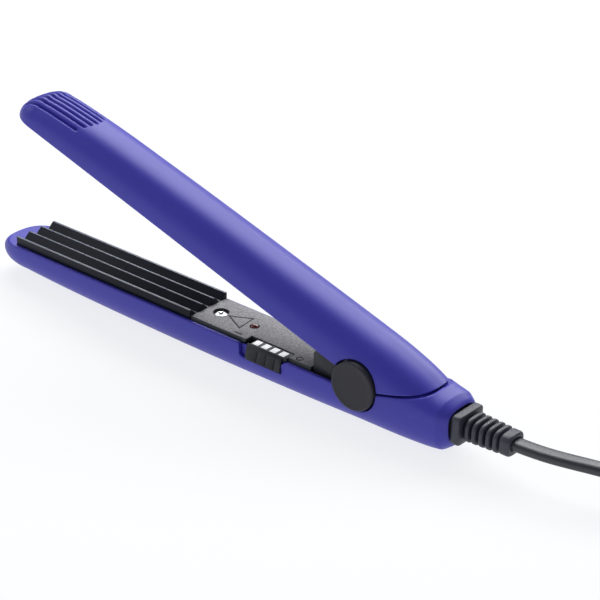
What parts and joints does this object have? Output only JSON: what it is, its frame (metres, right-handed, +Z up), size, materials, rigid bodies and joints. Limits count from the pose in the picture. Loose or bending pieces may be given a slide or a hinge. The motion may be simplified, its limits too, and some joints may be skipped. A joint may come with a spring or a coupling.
{
  "type": "hair crimper",
  "caption": "Slim hair crimper with two hinged arms, zigzag heated plates, a sliding switch and a flat mains cord folded into a hank with its plug.",
  "frame": {"origin": "middle of the object's length and width without its cord, on the surface that it rests on", "axes": "+X from the heated tips to the cord end, +Z up, +Y to the side away from the power switch"},
  "size_m": [0.385, 0.0493, 0.0678],
  "materials": {
    "violet_shell": "soft satin lacquer over moulded plastic",
    "panel_grey": "fine sparkle texture",
    "plate_coating": "dark ceramic coating over aluminium",
    "heat_black": "heat resistant moulding",
    "black_plastic": "fine matt moulding",
    "cap_charcoal": "fine matt moulding",
    "boot_rubber": "matt moulded pvc",
    "cord_sheath": "satin pvc sheath",
    "plug_black": "fine matt moulding",
    "plug_metal": "nickel plated brass",
    "screw_steel": "zinc plated steel",
    "spring_steel": "drawn wire and sheet",
    "white_print": "moulded white bars",
    "led_red": "tinted clear lens",
    "ceramic": "glazed ceramic heater",
    "insulation_sheet": "mica and glass cloth",
    "board_green": "solder resist",
    "component_black": "moulded component bodies",
    "lead_white": "glass sleeved wire"
  },
  "bodies": {
    "lower_arm": {"lower_shell": "violet_shell", "lower_inner_cover": "panel_grey", "lower_plate_tray": "heat_black", "lower_crimp_plate": "plate_coating", "lower_heater": "ceramic", "lower_insulation": "insulation_sheet", "lower_heater_clip": "spring_steel", "lower_cover_screw": "screw_steel", "led_indicator": "led_red", "control_board": "board_green", "board_components": "component_black", "switch_body": "component_black", "thermal_fuse": "spring_steel", "lower_heater_leads": "lead_white", "mains_leads": "lead_white", "hinge_block": "black_plastic", "hinge_pin": "screw_steel", "hinge_cap_near": "cap_charcoal", "hinge_cap_far": "cap_charcoal", "hinge_washers": "spring_steel", "hinge_spring": "spring_steel", "hinge_leads": "lead_white", "strain_relief": "boot_rubber", "cord_clamp": "black_plastic", "cord_clamp_screws": "screw_steel", "inner_cord_end": "cord_sheath", "cord": "cord_sheath", "cord_hank": "cord_sheath", "cord_plug_end": "cord_sheath", "cord_tie": "black_plastic", "plug_body": "plug_black", "plug_pins": "plug_metal"},
    "upper_arm": {"upper_shell": "violet_shell", "upper_inner_cover": "panel_grey", "upper_plate_tray": "heat_black", "upper_crimp_plate": "plate_coating", "upper_heater": "ceramic", "upper_insulation": "insulation_sheet", "upper_heater_clip": "spring_steel", "upper_cover_screw": "screw_steel", "upper_hinge_frame": "black_plastic", "upper_heater_leads": "lead_white"},
    "power_slider": {"switch_slider": "black_plastic", "slider_bars": "white_print", "switch_actuator": "component_black"}
  },
  "joints": [
    {"name": "arm_hinge", "type": "hinge", "parent": "lower_arm", "child": "upper_arm", "pos_m": [0.0533, 0, 0.0146], "axis": [0, -1, 0], "range_deg": [0, 16.8], "stiffness_Nm_per_rad": 0.25, "springref_deg": -22.92, "deforming": ["hinge_spring", "hinge_leads"]},
    {"name": "switch_slide", "type": "slide", "parent": "lower_arm", "child": "power_slider", "axis": [-1, 0, 0], "range_m": [0, 0.0025]}
  ]
}
